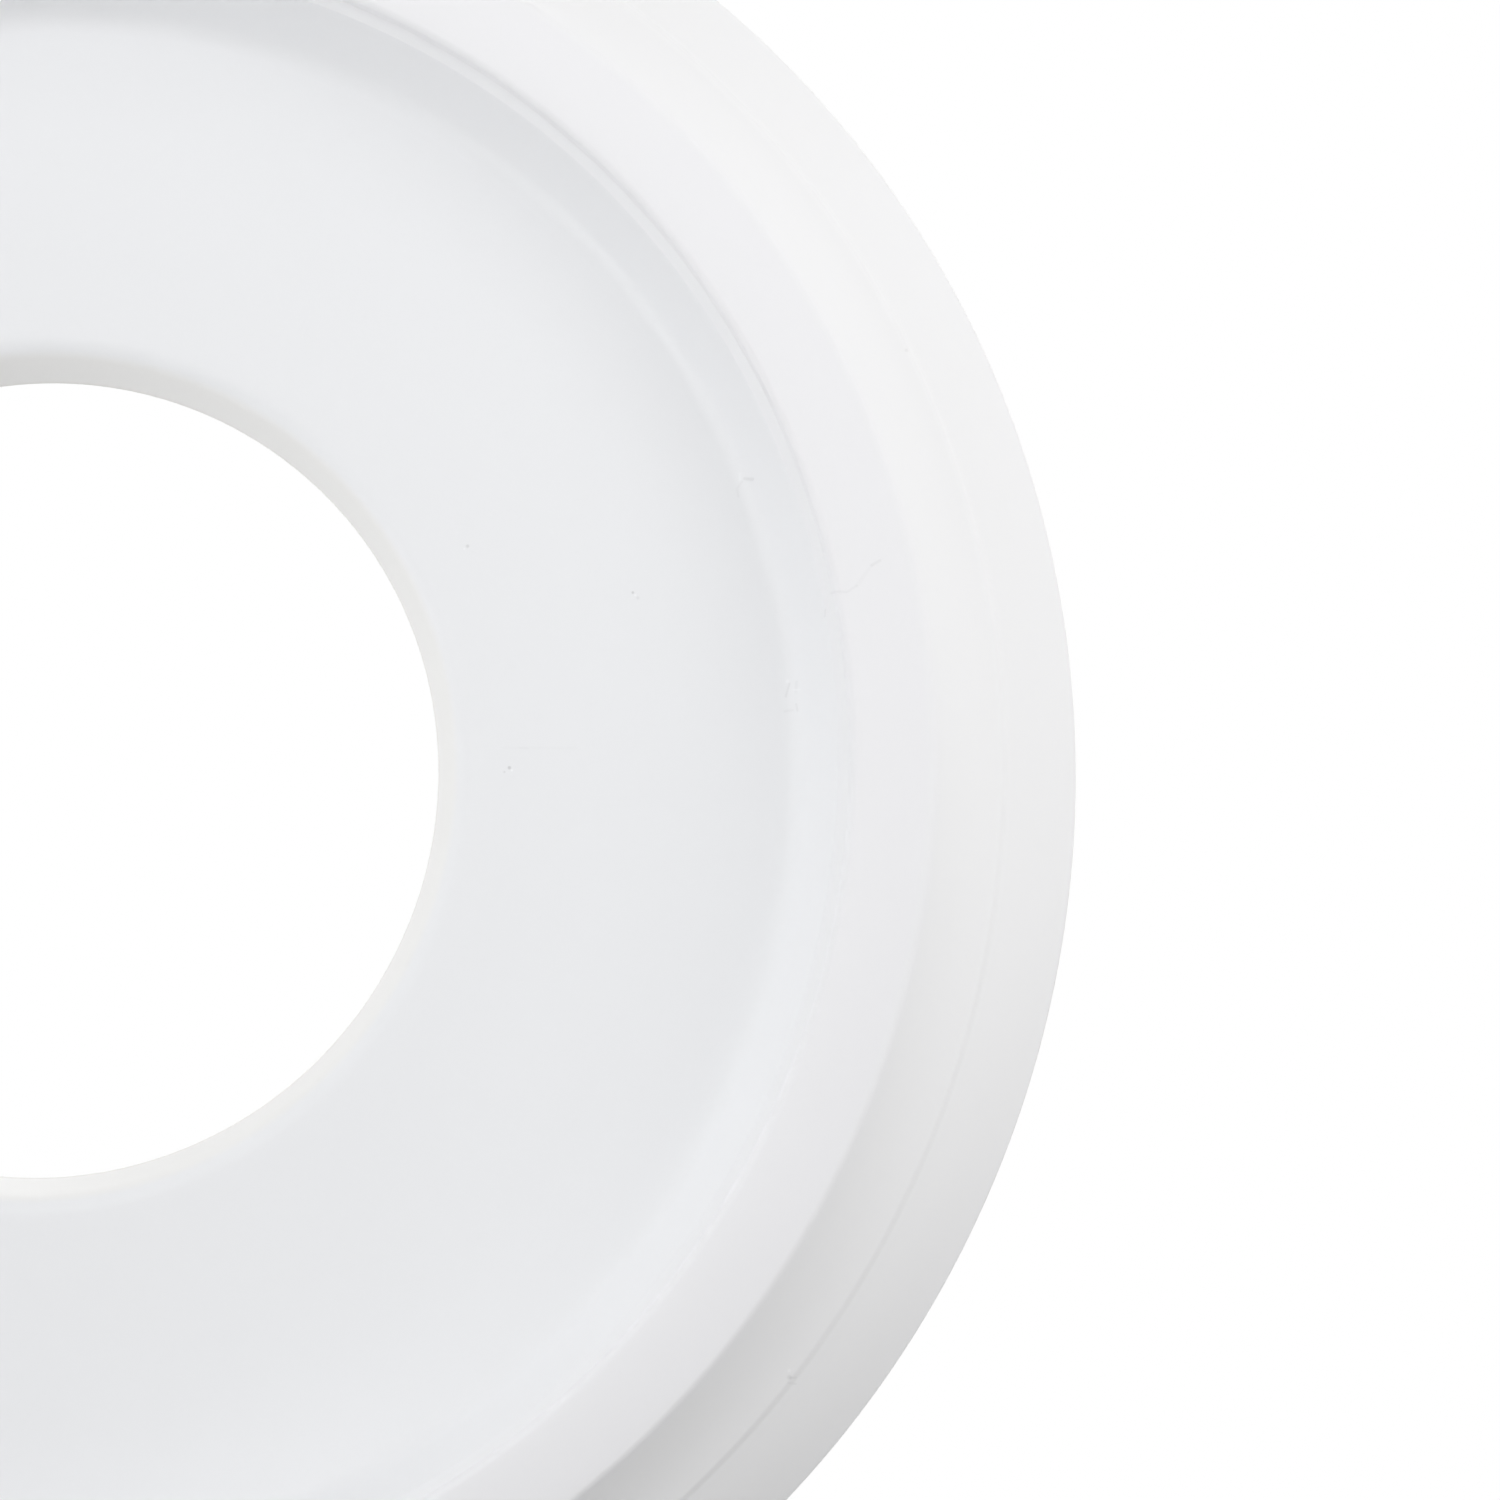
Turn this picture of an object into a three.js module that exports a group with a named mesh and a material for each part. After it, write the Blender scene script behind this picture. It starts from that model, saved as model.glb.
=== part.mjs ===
// Ceiling rose: one plain round moulding with a hole in its middle for a lamp.
// Millimetres, +Z up. The flat back lies on the ceiling plane z = 0, with the origin
// at the centre of the hole, and the moulded face hangs below it.

import * as THREE from 'three';

// Main sizes
const outerDiameter = 254;
const holeDiameter = 98;
const projection = 19;

// Hole: its wall leans outwards from the back to the face and ends in a rounded lip
const holeWallLean = 62;
const lipRadius = 3;

// Dish: a flat field around the hole that sweeps up into a soft crease
const fieldDepth = 6;
const fieldOuterRadius = 79;
const dishOuterRadius = 91.9;
const dishEndSlope = 7.5;
const creaseFillet = 4;

// Inner band: the steep cone from the crease to a narrow shelf under the ridge
const bandStartSlope = 60;
const bandOuterRadius = 99;
const bandEndSlope = 62;
const shelfEdgeFillet = 0.6;
const shelfOuterRadius = 100.25;
const shelfSlope = 38;

// Ridge: the crown of the moulding, a little domed, with a crisp outer edge
const stepRootFillet = 0.5;
const stepSlope = 74;
const ridgeShoulderFillet = 1;
const ridgeOuterRadius = 110;
const ridgeEndSlope = -10;
const ridgeEdgeFillet = 1.2;

// Cove: the hollow outside of the ridge, which flattens towards a fine soft step
const coveStartSlope = -62;
const coveOuterRadius = 118.1;
const coveEndSlope = -28;
const outerStepFillet = 1.1;
const outerStepSlope = -56;
const outerStepReach = 0.22;

// Ovolo: the rounded outer band, which steepens down to the rim
const ovoloStartSlope = -34;
const ovoloEndSlope = -50;
const rimFillet = 0.6;

// Facets around the axis
const aroundSegments = 96;

const white = { color: 0xedeef0, roughness: 0.55, metalness: 0 };

// A pen that draws the section as straight and round strokes, each one leaving in the
// direction in which the last one ended. x is the radius and y is the depth below the
// ceiling; slopes are in degrees, positive where the depth grows with the radius.
class SectionPen {
  constructor(x, y, slope) {
    this.x = x;
    this.y = y;
    this.angle = THREE.MathUtils.degToRad(slope);
    this.points = [new THREE.Vector2(x, y)];
  }

  mark(x, y) {
    this.x = x;
    this.y = y;
    this.points.push(new THREE.Vector2(x, y));
    return this;
  }

  straightToRadius(x) {
    return this.mark(x, this.y + (x - this.x) * Math.tan(this.angle));
  }

  straightToDepth(y) {
    return this.mark(this.x + (y - this.y) / Math.tan(this.angle), y);
  }

  // An arc of a given radius that turns the pen to a new slope
  bend(radius, slope, steps) {
    const from = this.angle;
    const to = THREE.MathUtils.degToRad(slope);
    const side = Math.sign(to - from);
    const startX = this.x;
    const startY = this.y;
    for (let i = 1; i <= steps; i += 1) {
      const angle = from + ((to - from) * i) / steps;
      const x = startX + side * radius * (Math.sin(angle) - Math.sin(from));
      const y = startY + side * radius * (Math.cos(from) - Math.cos(angle));
      this.mark(x, y);
    }
    this.angle = to;
    return this;
  }

  // An arc that reaches a new slope just as it reaches a given distance from the axis
  bendToRadius(x, slope, steps) {
    const turn = Math.sin(THREE.MathUtils.degToRad(slope)) - Math.sin(this.angle);
    return this.bend(Math.abs((x - this.x) / turn), slope, steps);
  }
}

// How deep an arc of this radius goes while it turns from one slope to another
function bendDepth(radius, fromSlope, toSlope) {
  const from = Math.cos(THREE.MathUtils.degToRad(fromSlope));
  const to = Math.cos(THREE.MathUtils.degToRad(toSlope));
  return radius * Math.abs(from - to);
}

// How far out the same arc goes
function bendReach(radius, fromSlope, toSlope) {
  const from = Math.sin(THREE.MathUtils.degToRad(fromSlope));
  const to = Math.sin(THREE.MathUtils.degToRad(toSlope));
  return radius * Math.abs(from - to);
}

function roseSection() {
  const pen = new SectionPen(holeDiameter / 2, 0, holeWallLean);

  pen.straightToDepth(fieldDepth - bendDepth(lipRadius, holeWallLean, 0));
  pen.bend(lipRadius, 0, 4);

  pen.straightToRadius(fieldOuterRadius);
  pen.bendToRadius(dishOuterRadius, dishEndSlope, 4);
  pen.bend(creaseFillet, bandStartSlope, 5);

  pen.bendToRadius(bandOuterRadius, bandEndSlope, 1);
  pen.bend(shelfEdgeFillet, shelfSlope, 2);
  pen.straightToRadius(shelfOuterRadius);

  pen.bend(stepRootFillet, stepSlope, 2);
  pen.straightToDepth(projection - bendDepth(ridgeShoulderFillet, stepSlope, 0));
  pen.bend(ridgeShoulderFillet, 0, 3);
  pen.bendToRadius(ridgeOuterRadius, ridgeEndSlope, 3);
  pen.bend(ridgeEdgeFillet, coveStartSlope, 4);

  pen.bendToRadius(coveOuterRadius, coveEndSlope, 5);
  pen.bend(outerStepFillet, outerStepSlope, 2);
  pen.straightToRadius(pen.x + outerStepReach);
  pen.bend(outerStepFillet, ovoloStartSlope, 2);
  const rimReach = bendReach(rimFillet, ovoloEndSlope, -90);
  pen.bendToRadius(outerDiameter / 2 - rimReach, ovoloEndSlope, 5);
  pen.bend(rimFillet, -90, 2);
  pen.mark(outerDiameter / 2, 0);
  return pen.points;
}

// The section turned about the Z axis, face down, with the flat back closing the ring
function roseGeometry() {
  const section = roseSection().map((point) => new THREE.Vector2(point.x, -point.y));
  section.push(section[0].clone());
  const geometry = new THREE.LatheGeometry(section, aroundSegments);
  geometry.rotateX(Math.PI / 2);
  return geometry;
}

const rose = new THREE.Mesh(roseGeometry(), new THREE.MeshStandardMaterial(white));
rose.name = 'ceiling_rose';

const group = new THREE.Group();
group.add(rose);

export default group;
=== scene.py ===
# A plain round ceiling rose, face down, with its flat back on the ceiling plane z = 0
import math
import bpy
import numpy as np
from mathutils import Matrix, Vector


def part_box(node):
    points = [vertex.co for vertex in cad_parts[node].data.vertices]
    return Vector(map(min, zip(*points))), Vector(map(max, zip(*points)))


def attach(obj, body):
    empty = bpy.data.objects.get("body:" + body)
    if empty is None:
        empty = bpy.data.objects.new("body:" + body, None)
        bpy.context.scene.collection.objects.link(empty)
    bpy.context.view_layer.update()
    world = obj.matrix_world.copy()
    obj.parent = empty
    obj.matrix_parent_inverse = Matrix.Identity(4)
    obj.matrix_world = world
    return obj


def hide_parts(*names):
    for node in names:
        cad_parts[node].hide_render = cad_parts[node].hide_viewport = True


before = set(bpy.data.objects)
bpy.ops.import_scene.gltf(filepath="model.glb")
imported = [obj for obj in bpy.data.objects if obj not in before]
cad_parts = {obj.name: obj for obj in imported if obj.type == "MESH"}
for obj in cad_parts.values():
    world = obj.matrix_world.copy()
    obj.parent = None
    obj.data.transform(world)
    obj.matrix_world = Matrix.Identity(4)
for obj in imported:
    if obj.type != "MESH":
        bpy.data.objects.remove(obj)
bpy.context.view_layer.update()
roseLow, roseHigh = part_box("ceiling_rose")
print("frame loaded:", sorted(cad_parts))


# The moulding's section, in metres and degrees. The outer radius and the projection
# come from the frame. A slope is positive where the face drops away from the ceiling
# as the radius grows.
rose = {
    "outerRadius": roseHigh.x,
    "projection": -roseLow.z,
    "holeRadius": 0.0490,
    "holeEdgeFillet": 0.00025,
    "holeWallLean": 62,
    "lipRadius": 0.0030,
    "fieldDepth": 0.0060,
    "fieldOuterRadius": 0.0790,
    "dishOuterRadius": 0.0919,
    "dishEndSlope": 7.5,
    "creaseFillet": 0.0040,
    "bandStartSlope": 60,
    "bandOuterRadius": 0.0990,
    "bandEndSlope": 62,
    "shelfEdgeFillet": 0.0006,
    "shelfOuterRadius": 0.10025,
    "shelfSlope": 38,
    "stepRootFillet": 0.0005,
    "stepSlope": 74,
    "ridgeShoulderFillet": 0.0010,
    "ridgeOuterRadius": 0.1100,
    "ridgeEndSlope": -10,
    "ridgeEdgeFillet": 0.0012,
    "coveStartSlope": -62,
    "coveOuterRadius": 0.1181,
    "coveEndSlope": -28,
    "outerStepFillet": 0.0011,
    "outerStepSlope": -56,
    "outerStepLength": 0.0004,
    "ovoloStartSlope": -34,
    "ovoloEndSlope": -50,
    "rimFillet": 0.0006,
    "backEdgeFillet": 0.00025,
    "backMargin": 0.0008,  # width of the narrow step next to each edge of the back
    "spacing": 0.0010,  # longest step along the face's section
    "backSpacing": 0.0060,  # and across the flat back
    "turnStep": 9,  # largest turn from one step to the next
    "around": 480,  # points once round the axis
    "unevenness": 0.000012,  # how far the casting wanders from a true turned form
    "seed": 11,
    "waves": 6,  # how many waves make up the wander
    "lobes": (2, 12),  # a wave has at least 2 and fewer than 12 lobes around
    "wanderFades": (0.0040, 0.0010),  # depths over which it fades towards the back and the crown
}


def bendDepth(radius, fromSlope, toSlope):
    # How deep an arc goes between two slopes: its radius times the change in their cosines
    return radius * abs(math.cos(math.radians(fromSlope)) - math.cos(math.radians(toSlope)))


def bendReach(radius, fromSlope, toSlope):
    # How far out the same arc goes: its radius times the change in the sines
    return radius * abs(math.sin(math.radians(fromSlope)) - math.sin(math.radians(toSlope)))


class SectionPen:
    # Draws the section as straight and round strokes, each leaving in the direction in
    # which the last one ended, and keeps the points as arrays of radius and depth
    def __init__(self, radius, depth, slope, spacing, turnStep):
        self.here = np.array([radius, depth])
        self.angle = math.radians(slope)
        self.spacing = spacing
        self.turnStep = math.radians(turnStep)
        self.strokes = [self.here[None, :]]

    def keep(self, points):
        self.strokes.append(points)
        self.here = points[-1]

    def straightBy(self, length):
        # Equal steps along the present direction: outwards by its cosine, down by its sine
        steps = max(1, math.ceil(abs(length) / self.spacing))
        along = np.linspace(0, length, steps + 1)[1:, None]
        self.keep(self.here + along * np.array([math.cos(self.angle), math.sin(self.angle)]))

    def straightToRadius(self, radius):
        # The length is the change in radius over the cosine of the direction
        self.straightBy((radius - self.here[0]) / math.cos(self.angle))

    def straightToDepth(self, depth):
        # The length is the change in depth over the sine of the direction
        self.straightBy((depth - self.here[1]) / math.sin(self.angle))

    def bend(self, arcRadius, slope):
        # An arc: the start, plus the arc's radius times the change in the sine (outwards)
        # and in the cosine (down) of a direction that turns evenly to the new slope
        end = math.radians(slope)
        turn = end - self.angle
        length = abs(turn) * arcRadius
        steps = max(2, math.ceil(abs(turn) / self.turnStep), math.ceil(length / self.spacing))
        angles = np.linspace(self.angle, end, steps + 1)[1:]
        signed = math.copysign(arcRadius, turn)
        outwards = signed * (np.sin(angles) - math.sin(self.angle))
        down = signed * (math.cos(self.angle) - np.cos(angles))
        self.keep(self.here + np.stack([outwards, down], 1))
        self.angle = end

    def bendToRadius(self, radius, slope):
        # The arc that has the new slope just where it reaches this radius
        change = math.sin(math.radians(slope)) - math.sin(self.angle)
        self.bend(abs((radius - self.here[0]) / change), slope)

    def points(self):
        return np.concatenate(self.strokes)


def roseSection(s):
    # Once round the section: hole wall, lip, field, dish, band, shelf, ridge, cove, step,
    # ovolo, rim, and the flat back home to the hole
    inwards = 180
    toCeiling = -90
    fillet = s["holeEdgeFillet"]
    # The fillet starts on the back, its radius times the tangent of half its turn from the edge
    backInner = s["holeRadius"] + fillet * math.tan(math.radians(inwards - s["holeWallLean"]) / 2)
    pen = SectionPen(backInner, 0, inwards, s["spacing"], s["turnStep"])
    pen.bend(fillet, s["holeWallLean"])
    pen.straightToDepth(s["fieldDepth"] - bendDepth(s["lipRadius"], s["holeWallLean"], 0))
    pen.bend(s["lipRadius"], 0)

    pen.straightToRadius(s["fieldOuterRadius"])
    pen.bendToRadius(s["dishOuterRadius"], s["dishEndSlope"])
    pen.bend(s["creaseFillet"], s["bandStartSlope"])

    pen.bendToRadius(s["bandOuterRadius"], s["bandEndSlope"])
    pen.bend(s["shelfEdgeFillet"], s["shelfSlope"])
    pen.straightToRadius(s["shelfOuterRadius"])
    pen.bend(s["stepRootFillet"], s["stepSlope"])
    pen.straightToDepth(s["projection"] - bendDepth(s["ridgeShoulderFillet"], s["stepSlope"], 0))
    pen.bend(s["ridgeShoulderFillet"], 0)
    pen.bendToRadius(s["ridgeOuterRadius"], s["ridgeEndSlope"])
    pen.bend(s["ridgeEdgeFillet"], s["coveStartSlope"])

    pen.bendToRadius(s["coveOuterRadius"], s["coveEndSlope"])
    pen.bend(s["outerStepFillet"], s["outerStepSlope"])
    pen.straightBy(s["outerStepLength"])
    pen.bend(s["outerStepFillet"], s["ovoloStartSlope"])
    rimReach = bendReach(s["rimFillet"], s["ovoloEndSlope"], toCeiling)
    pen.bendToRadius(s["outerRadius"] - rimReach, s["ovoloEndSlope"])
    pen.bend(s["rimFillet"], toCeiling)
    pen.straightToDepth(s["backEdgeFillet"])
    pen.bend(s["backEdgeFillet"], -inwards)

    # The back is one flat ring, with a narrow step next to each edge to keep its shading flat
    pen.straightBy(s["backMargin"])
    pen.spacing = s["backSpacing"]
    pen.straightToRadius(backInner + s["backMargin"])
    pen.straightToRadius(backInner)
    return pen.points()[:-1]


def castWander(angle, s):
    # A slow wave around the face: a few cosines of the angle, with counts and phases drawn
    # once, added up and brought to about one
    dice = np.random.default_rng(s["seed"])
    lobes = dice.integers(s["lobes"][0], s["lobes"][1], s["waves"])
    phases = dice.uniform(0, 2 * math.pi, s["waves"])
    return np.cos(angle[..., None] * lobes + phases).sum(-1) / math.sqrt(s["waves"])


def turnedRing(section, s):
    # The section (radius and depth) carried once round the Z axis: x is the radius times the
    # angle's cosine, y the radius times its sine, and z minus the depth. The wander moves the
    # face a little up and down, and fades out towards the flat back and the ridge's crown.
    angle = np.linspace(0, 2 * math.pi, s["around"], endpoint=False)[None, :]
    radius = section[:, 0][:, None]
    depth = section[:, 1][:, None]
    backFade, crownFade = s["wanderFades"]
    fade = np.clip(depth / backFade, 0, 1) * np.clip((s["projection"] - depth) / crownFade, 0, 1)
    depth = depth + s["unevenness"] * castWander(angle, s) * fade
    grid = np.stack(np.broadcast_arrays(radius * np.cos(angle), radius * np.sin(angle), -depth), -1)
    return grid.reshape(-1, 3)


def ringFaces(rows, around):
    # Quads between each row of points and the next, both directions closing on themselves
    row = np.arange(rows)[:, None]
    column = np.arange(around)[None, :]
    nextRow = (row + 1) % rows
    nextColumn = (column + 1) % around
    corners = [row * around + column, row * around + nextColumn,
               nextRow * around + nextColumn, nextRow * around + column]
    return np.stack(corners, -1).reshape(-1, 4)


def meshObject(name, vertices, faces):
    # A smooth mesh from two arrays: a row for each point, and a row of points for each face
    mesh = bpy.data.meshes.new(name)
    mesh.vertices.add(len(vertices))
    mesh.vertices.foreach_set("co", vertices.astype(np.float32).ravel())
    mesh.loops.add(faces.size)
    mesh.loops.foreach_set("vertex_index", faces.astype(np.int32).ravel())
    mesh.polygons.add(len(faces))
    mesh.polygons.foreach_set("loop_start", np.arange(0, faces.size, faces.shape[1], dtype=np.int32))
    mesh.update(calc_edges=True)
    mesh.validate()
    mesh.shade_smooth()
    thing = bpy.data.objects.new(name, mesh)
    bpy.context.scene.collection.objects.link(thing)
    return thing


class Socket:
    # Wraps a shader socket so that sums on it add Math nodes
    def __init__(self, tree, link):
        self.tree = tree
        self.link = link

    def math(self, operation, *others):
        return self.tree.node("ShaderNodeMath", {"operation": operation}, [self, *others])

    def __add__(self, other):
        return self.math("ADD", other)

    def __sub__(self, other):
        return self.math("SUBTRACT", other)

    def __mul__(self, other):
        return self.math("MULTIPLY", other)

    def __rsub__(self, other):
        return self.tree.node("ShaderNodeMath", {"operation": "SUBTRACT"}, [other, self])

    __radd__ = __add__
    __rmul__ = __mul__

    def clamp(self):
        # Held between 0 and 1
        return self.tree.node("ShaderNodeMath", {"operation": "MULTIPLY", "use_clamp": True}, [self, 1])

    def larger(self, other):
        return self.math("MAXIMUM", other)

    def smooth(self, low, high):
        # 0 below low and 1 above high, with a soft step between; low may be the larger one
        settings = {"interpolation_type": "SMOOTHSTEP"}
        if low < high:
            return self.tree.node("ShaderNodeMapRange", settings, [self, low, high, 0, 1], "Result")
        return self.tree.node("ShaderNodeMapRange", settings, [self, high, low, 1, 0], "Result")

    def part(self, axis):
        # One of the X, Y and Z parts of a vector
        return self.tree.node("ShaderNodeSeparateXYZ", {}, [self], axis)


class Tree:
    # A material's or the world's nodes
    mixFirst, mixSecond, mixResult = 6, 7, 2  # the places of a Mix node's colour sockets

    def __init__(self, owner):
        owner.use_nodes = True
        self.tree = owner.node_tree
        self.tree.nodes.clear()

    def node(self, kind, settings, inputs, output=0):
        # Adds a node: its settings first, then its inputs by place or by name, each one a
        # value or a wrapped socket, and gives back one output, wrapped
        made = self.tree.nodes.new(kind)
        for key, value in settings.items():
            setattr(made, key, value)
        named = inputs.items() if isinstance(inputs, dict) else enumerate(inputs)
        for key, value in named:
            if isinstance(value, Socket):
                self.tree.links.new(value.link, made.inputs[key])
            elif value is not None:
                made.inputs[key].default_value = value
        return Socket(self, made.outputs[output]) if len(made.outputs) else made

    def vector(self, operation, *inputs, output=0):
        return self.node("ShaderNodeVectorMath", {"operation": operation}, list(inputs), output)

    def scaled(self, vector, factor):
        return self.node("ShaderNodeVectorMath", {"operation": "SCALE"}, {0: vector, "Scale": factor})

    def flattened(self, place):
        # The place without its Z part, so that its length is the distance from the axis
        return self.vector("MULTIPLY", place, (1, 1, 0))

    def mixColour(self, factor, first, second):
        inputs = {"Factor": factor, self.mixFirst: first, self.mixSecond: second}
        return self.node("ShaderNodeMix", {"data_type": "RGBA"}, inputs, self.mixResult)

    def noise(self, place, size, detail):
        # A noise from 0 to 1 whose blotches are about this size
        inputs = {"Vector": place, "Scale": 1 / size, "Detail": detail}
        return self.node("ShaderNodeTexNoise", {}, inputs, "Fac")


# The white primer, a little bluish on the face and the ridge; the outer mouldings' neutral white is
# painted warm light falling from behind
primer = {
    "white": (0.876, 0.884, 0.901, 1),
    "ridgeWhite": (0.882, 0.881, 0.898, 1),
    "outerWarmLitWhite": (0.885, 0.884, 0.889, 1),
    "holeWallWhite": (0.886, 0.884, 0.875, 1),
    "backWhite": (0.830, 0.822, 0.795, 1),
    "refraction": 1.47,
    "roughness": 0.50,
    "roughnessSpread": 0.08,
    "backRoughness": 0.2,  # how much rougher the back is
    "faceFrom": (0.0002, 0.0008),  # depths between which the back gives way to the face
    "holeWallTo": (0.0036, 0.0024),  # how far out from the hole's back edge the wall's tone fades
    "ridgeFrom": (0.098, 0.102),  # radii between which the face's white turns to the ridge's
    "outerFrom": (0.109, 0.112),  # and the ridge's white to the outer mouldings' neutral white, painted warm light
    "mottleSize": 0.018,
    "mottleDetail": 2,
    "mottleStrength": 0.010,
    "backMottle": 0.060,  # the unprimed back is blotchier by this much
    "noiseMiddle": 0.5,  # what a noise comes to on average
    "peelSize": 0.0012,
    "peelDetail": 1,
    "peelHeight": 0.000006,
    "backPeel": 5,  # the back's skin is coarser by this many times
    "bumpStrength": 1,
    "markCore": 0.3,  # the share of a mark's reach that has its full strength
}

# The small marks in the photograph, each placed by its distance from the axis, in metres, and
# its angle in degrees from +X towards +Y. A mark darkens the colour by a share, or lightens it
# where the share is negative. First the pits: a pit's dark core is painted shade in a small dent,
# and the glint beside some of them is a painted highlight on the dent's lit rim; the tails are
# darker spots beside them.
specks = {
    # Painted shade in the pits' dents; each glint is a painted highlight on a dent's lit rim
    "fieldPit": {"radius": 0.0599, "angle": -27.1, "size": 0.00031, "darken": 0.15},
    "fieldPitGlint": {"radius": 0.0594, "angle": -27.0, "size": 0.0002, "darken": -0.06},
    "dishPit": {"radius": 0.0766, "angle": -16.2, "size": 0.00025, "darken": 0.20},
    "dishPitGlint": {"radius": 0.0768, "angle": -15.9, "size": 0.0002, "darken": -0.08},
    "dishPitTail": {"radius": 0.0770, "angle": -15.6, "size": 0.0003, "darken": 0.08},
    "holePit": {"radius": 0.0586, "angle": -0.1, "size": 0.00031, "darken": 0.22},
    "holePitGlint": {"radius": 0.0589, "angle": 0.2, "size": 0.0002, "darken": -0.10},
    "holePitTail": {"radius": 0.0580, "angle": 0.4, "size": 0.0002, "darken": 0.12},
    "creaseGlint": {"radius": 0.0930, "angle": -6.3, "size": 0.0003, "darken": -0.05},
    "creaseDot": {"radius": 0.0939, "angle": -5.4, "size": 0.0003, "darken": 0.03},
    "stepDot": {"radius": 0.1181, "angle": -25.0, "size": 0.0003, "darken": 0.07},
    # The chip's darkening is painted shade in its dent, and its glint a painted highlight on the lit rim
    "stepChip": {"radius": 0.1181, "angle": 38.2, "size": 0.0004, "darken": 0.10},
    "stepChipGlint": {"radius": 0.1176, "angle": 37.9, "size": 0.0003, "darken": -0.06},
}

# Then the scratches, each one a route of straight strokes, darker along its strokes; a glint beside a
# scratch is a painted highlight on its lit edge
scratches = {
    "creaseHook": {"route": [(0.0940, -21.8), (0.0949, -21.4)], "width": 0.00027, "darken": 0.09},
    "creaseHookTail": {
        "route": [(0.0936, -21.7), (0.0927, -21.4), (0.0925, -20.8)], "width": 0.0002, "darken": 0.04,
    },
    # A painted highlight on the hook's lit edge
    "creaseHookGlint": {"route": [(0.0937, -22.3), (0.0934, -21.9)], "width": 0.00024, "darken": -0.035},
    "creaseTick": {"route": [(0.0932, -6.1), (0.0926, -5.2)], "width": 0.0002, "darken": 0.07},
    "creaseTickAbove": {"route": [(0.0941, -6.1), (0.0940, -5.7)], "width": 0.0003, "darken": 0.045},
    # A painted highlight on the tick's lit edge
    "creaseTickGlint": {"route": [(0.0936, -5.6), (0.0945, -5.5)], "width": 0.00015, "darken": -0.03},
    "creaseNick": {"route": [(0.0923, -4.1), (0.0933, -4.1)], "width": 0.0002, "darken": 0.045},
    "bandNick": {"route": [(0.0938, -4.5), (0.0939, -4.0)], "width": 0.0002, "darken": 0.06},
    "shelfNick": {"route": [(0.0991, -10.2), (0.0989, -9.8)], "width": 0.00017, "darken": 0.06},
    "ridgeScratch": {
        "route": [(0.1002, -11.2), (0.1021, -10.9), (0.1034, -11.2)], "width": 0.0002, "darken": 0.04,
    },
    "ridgeScratchMiddle": {"route": [(0.1034, -11.2), (0.1056, -12.3)], "width": 0.0003, "darken": 0.018},
    "ridgeScratchEnd": {"route": [(0.1056, -12.3), (0.1067, -12.5)], "width": 0.00024, "darken": 0.055},
    "fieldHairline": {"route": [(0.0580, -2.5), (0.0667, -2.1)], "width": 0.00026, "darken": 0.012},
    "fieldHairlineCore": {"route": [(0.0599, -2.4), (0.0609, -2.3)], "width": 0.0002, "darken": 0.02},
    "stepNick": {"route": [(0.1182, 38.2), (0.1187, 38.0)], "width": 0.0002, "darken": 0.06},
    "stepNickBelow": {"route": [(0.1184, 38.5), (0.1191, 38.3)], "width": 0.0002, "darken": 0.05},
}


def polarPlace(radius, degrees):
    # x is the radius times the angle's cosine, and y the radius times its sine
    angle = math.radians(degrees)
    return radius * np.array([math.cos(angle), math.sin(angle), 0])


def nearMark(away, reach, core):
    # 1 close to the mark's middle, falling softly to 0 where the distance comes to its reach
    return away.smooth(reach, core * reach)


def speckMask(tree, flat, mark, core):
    # From the distance between the point and the speck's middle
    middle = tuple(polarPlace(mark["radius"], mark["angle"]))
    away = tree.vector("DISTANCE", flat, middle, output="Value")
    return nearMark(away, mark["size"], core) * mark["darken"]


def strokeMask(tree, flat, start, end, reach, core):
    # From the distance between the point and a straight stroke: the point is carried onto the
    # stroke by the dot product with its direction, held between its two ends
    run = end - start
    fromStart = tree.vector("SUBTRACT", flat, tuple(start))
    share = tree.vector("DOT_PRODUCT", fromStart, tuple(run / (run @ run)), output="Value").clamp()
    onStroke = tree.scaled(tuple(run), share)
    away = tree.vector("DISTANCE", fromStart, onStroke, output="Value")
    return nearMark(away, reach, core)


def scratchMask(tree, flat, mark, core):
    # The strongest of its strokes
    corners = [polarPlace(*corner) for corner in mark["route"]]
    strongest = strokeMask(tree, flat, corners[0], corners[1], mark["width"], core)
    for start, end in zip(corners[1:], corners[2:]):
        strongest = strongest.larger(strokeMask(tree, flat, start, end, mark["width"], core))
    return strongest * mark["darken"]


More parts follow.
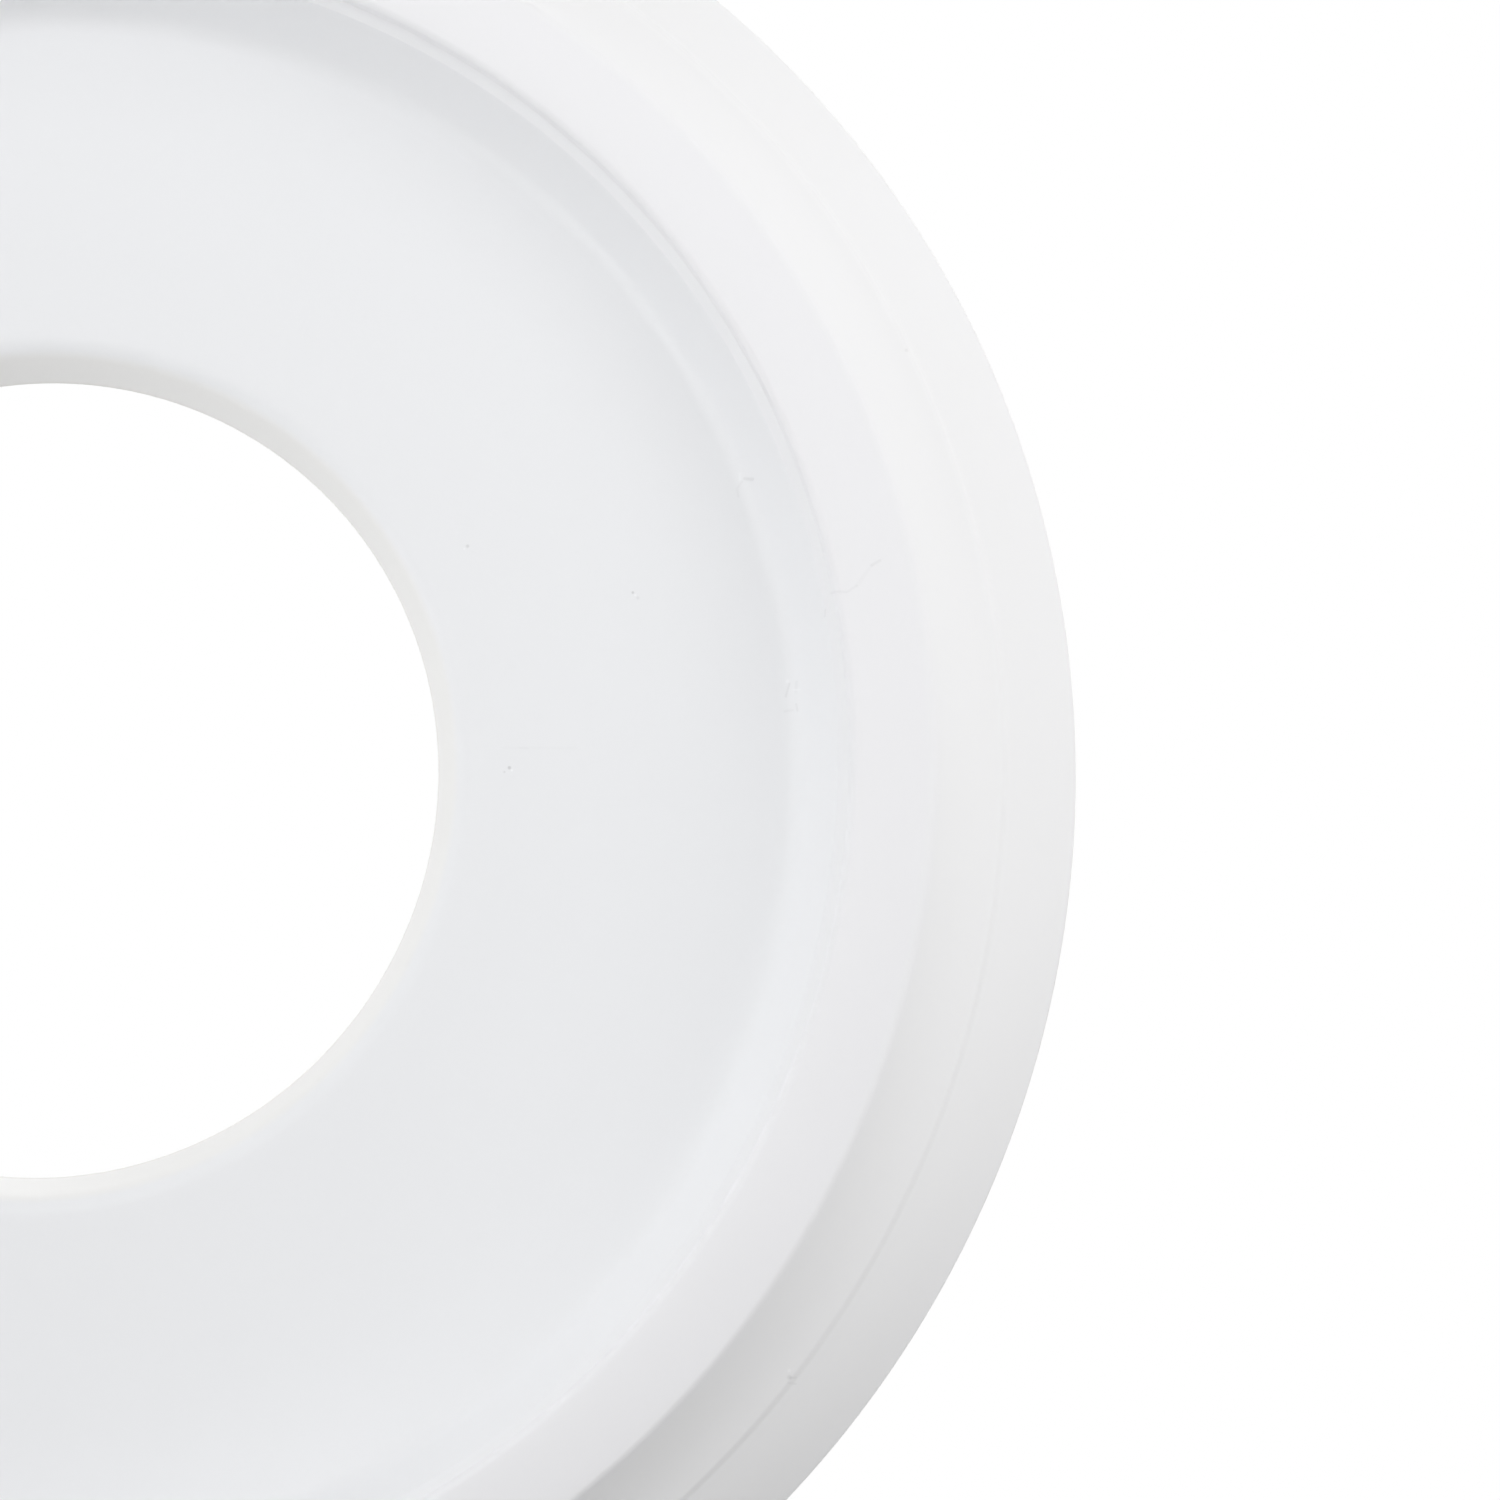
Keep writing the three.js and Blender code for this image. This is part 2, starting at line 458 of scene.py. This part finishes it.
def primerMaterial(s, holeRadius):
    # Each tone gives way to the next by the distance from the axis, and all of them to the
    # bare back by depth; the mottle makes them a little lighter or darker, and the marks add painted
    # shade in the pits, painted highlights beside them and darker scratches
    material = bpy.data.materials.new("whitePrimer")
    tree = Tree(material)
    place = tree.node("ShaderNodeTexCoord", {}, [], "Object")
    flat = tree.flattened(place)
    axisDistance = tree.vector("LENGTH", flat, output="Value")
    depth = 0 - place.part("Z")

    onFace = depth.smooth(*s["faceFrom"])
    onBack = 1 - onFace
    wallFrom, wallTo = s["holeWallTo"]
    inHole = axisDistance.smooth(holeRadius + wallFrom, holeRadius + wallTo)
    mottle = tree.noise(place, s["mottleSize"], s["mottleDetail"]) - s["noiseMiddle"]
    peel = tree.noise(place, s["peelSize"], s["peelDetail"])

    # The marks: painted shade in the pits and the chip, painted highlights where the share is negative,
    # and the darker scratches and dots
    marks = 0
    for mark in specks.values():
        marks = marks + speckMask(tree, flat, mark, s["markCore"])
    for mark in scratches.values():
        marks = marks + scratchMask(tree, flat, mark, s["markCore"])

    face = tree.mixColour(axisDistance.smooth(*s["ridgeFrom"]), s["white"], s["ridgeWhite"])
    # Painted warm light: the outer mouldings' neutral white stands for warmer light falling from behind
    face = tree.mixColour(axisDistance.smooth(*s["outerFrom"]), face, s["outerWarmLitWhite"])
    face = tree.mixColour(inHole, face, s["holeWallWhite"])
    body = tree.mixColour(onFace, s["backWhite"], face)
    shade = 1 + mottle * (s["mottleStrength"] + onBack * s["backMottle"]) - marks * onFace
    colour = tree.scaled(body, shade)
    roughness = s["roughness"] + mottle * s["roughnessSpread"] + onBack * s["backRoughness"]

    height = peel * (1 + onBack * s["backPeel"])
    bump = tree.node("ShaderNodeBump", {}, {
        "Strength": s["bumpStrength"], "Distance": s["peelHeight"], "Height": height,
    })
    surface = tree.node("ShaderNodeBsdfPrincipled", {}, {
        "Base Color": colour, "Roughness": roughness, "Normal": bump, "IOR": s["refraction"],
    })
    tree.node("ShaderNodeOutputMaterial", {}, [surface])
    return material


section = roseSection(rose)
piece = meshObject(
    "rose",
    turnedRing(section, rose),
    ringFaces(len(section), rose["around"]),
)
piece.data.materials.append(primerMaterial(primer, rose["holeRadius"]))
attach(piece, "root")
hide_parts("ceiling_rose")
print("rose made:", len(section), "points along the section,", len(piece.data.polygons), "faces")


# A plain pale floor, far below, that turns as white as the backdrop in the distance
floor = {
    "depth": 1.9,
    "halfSide": 8,
    "colour": (0.70, 0.70, 0.70, 1),
    "nearGlow": (0.17, 0.17, 0.17, 1),
    "farGlow": (0.60, 0.60, 0.60, 1),
    "glowFrom": (1.5, 6.5),  # distances from the axis between which the glow grows
    "glowStrength": 1,
    "roughness": 0.8,
}


def floorMaterial(s):
    material = bpy.data.materials.new("paleFloor")
    tree = Tree(material)
    place = tree.node("ShaderNodeTexCoord", {}, [], "Object")
    axisDistance = tree.vector("LENGTH", tree.flattened(place), output="Value")
    glow = tree.mixColour(axisDistance.smooth(*s["glowFrom"]), s["nearGlow"], s["farGlow"])
    surface = tree.node("ShaderNodeBsdfPrincipled", {}, {
        "Base Color": s["colour"], "Roughness": s["roughness"],
        "Emission Color": glow, "Emission Strength": s["glowStrength"],
    })
    tree.node("ShaderNodeOutputMaterial", {}, [surface])
    return material


def floorCorners(s):
    # A level square around the axis
    signs = np.array([[-1, -1], [1, -1], [1, 1], [-1, 1]])
    return np.column_stack([signs * s["halfSide"], np.full(len(signs), -s["depth"])])


floorPiece = meshObject("paleFloor", floorCorners(floor), np.array([[0, 1, 2, 3]]))
floorPiece.data.materials.append(floorMaterial(floor))
# The studio light is set by the lamps and the surround, so the floor sends none to the rose
floorPiece.visible_diffuse = False
floorPiece.visible_glossy = False
print("floor laid")


# Soft studio light. The camera looks up at the face from below; the top of the picture is
# towards -Y. Each lamp is a round soft box aimed at the rose. Its side is the angle in the
# picture, from the right anticlockwise, and its height the angle in front of the back's plane.
lamps = {
    "key": {"side": 90, "height": 65, "away": 1.5, "size": 0.8, "power": 7.3},
    "topBehind": {"side": 90, "height": -40, "away": 1.5, "size": 0.8, "power": 4.3},
    "upperRightLow": {"side": 45, "height": 10, "away": 1.5, "size": 0.8, "power": 2.4},
    "left": {"side": 185, "height": 35, "away": 0.85, "size": 0.5, "power": 1.4},
    "lowerLeft": {"side": 205, "height": 20, "away": 0.85, "size": 0.5, "power": 2.6},
    "upperRightNear": {"side": 60, "height": 35, "away": 0.5, "size": 0.3, "power": 0.38},
    "rightNear": {"side": 0, "height": 35, "away": 0.5, "size": 0.3, "power": 0.30},
    "lowerRightNear": {"side": 345, "height": 25, "away": 0.5, "size": 0.3, "power": 0.34},
}

# The light from all around: weak from in front of the face, stronger from behind the rose.
# The camera sees plain white instead.
surround = {
    "colour": (1, 1, 1, 1),
    "front": 0.20,
    "behind": 0.76,
    "join": 0.05,  # half the width of the soft change from one to the other
    "seenColour": (1, 1, 1, 1),
    "seenStrength": 1,
}


def addLamp(name, s):
    # The direction from the rose: x is the side's cosine times the height's cosine, y minus
    # the side's sine times the height's cosine, and z minus the height's sine
    light = bpy.data.lights.new(name, "AREA")
    light.shape = "DISK"
    light.size = s["size"]
    light.energy = s["power"]
    lamp = bpy.data.objects.new(name, light)
    bpy.context.scene.collection.objects.link(lamp)
    side = math.radians(s["side"])
    height = math.radians(s["height"])
    towards = Vector((
        math.cos(side) * math.cos(height), -math.sin(side) * math.cos(height), -math.sin(height),
    ))
    lamp.location = towards * s["away"]
    # A lamp shines along its own -Z, so its Z points from the rose to the lamp
    lamp.rotation_euler = towards.to_track_quat("Z", "Y").to_euler()
    lamp.visible_camera = False


for lampName, lampSettings in lamps.items():
    addLamp(lampName, lampSettings)


def lightAllAround(s):
    # The strength goes from front to behind with a ray's upward part
    world = bpy.data.worlds.new("studio")
    bpy.context.scene.world = world
    tree = Tree(world)
    upward = tree.node("ShaderNodeTexCoord", {}, [], "Generated").part("Z")
    strength = s["front"] + upward.smooth(-s["join"], s["join"]) * (s["behind"] - s["front"])
    light = tree.node("ShaderNodeBackground", {}, [s["colour"], strength])
    seen = tree.node("ShaderNodeBackground", {}, [s["seenColour"], s["seenStrength"]])
    fromCamera = tree.node("ShaderNodeLightPath", {}, [], "Is Camera Ray")
    surface = tree.node("ShaderNodeMixShader", {}, [fromCamera, light, seen])
    tree.node("ShaderNodeOutputWorld", {}, [surface])


lightAllAround(surround)
bpy.context.scene.view_settings.view_transform = "Standard"
print("lamps and surround set")


# The photograph's view: close under the face, a little to one side of the middle, so that
# the rose runs out of the frame on three sides
view = {
    "place": (0.1306, 0.0635, -0.6000),
    "tilt": 186.28,  # degrees about X; 180 looks straight up
    "turn": -4.12,  # degrees about Y
    "lens": 119.1,  # millimetres, on a sensor of the next width
    "sensor": 36,
}

cameraData = bpy.data.cameras.new("camera")
cameraData.lens = view["lens"]
cameraData.sensor_width = view["sensor"]
camera = bpy.data.objects.new("camera", cameraData)
bpy.context.scene.collection.objects.link(camera)
camera.location = view["place"]
camera.rotation_euler = (math.radians(view["tilt"]), math.radians(view["turn"]), 0)
bpy.context.scene.camera = camera
print("camera set")
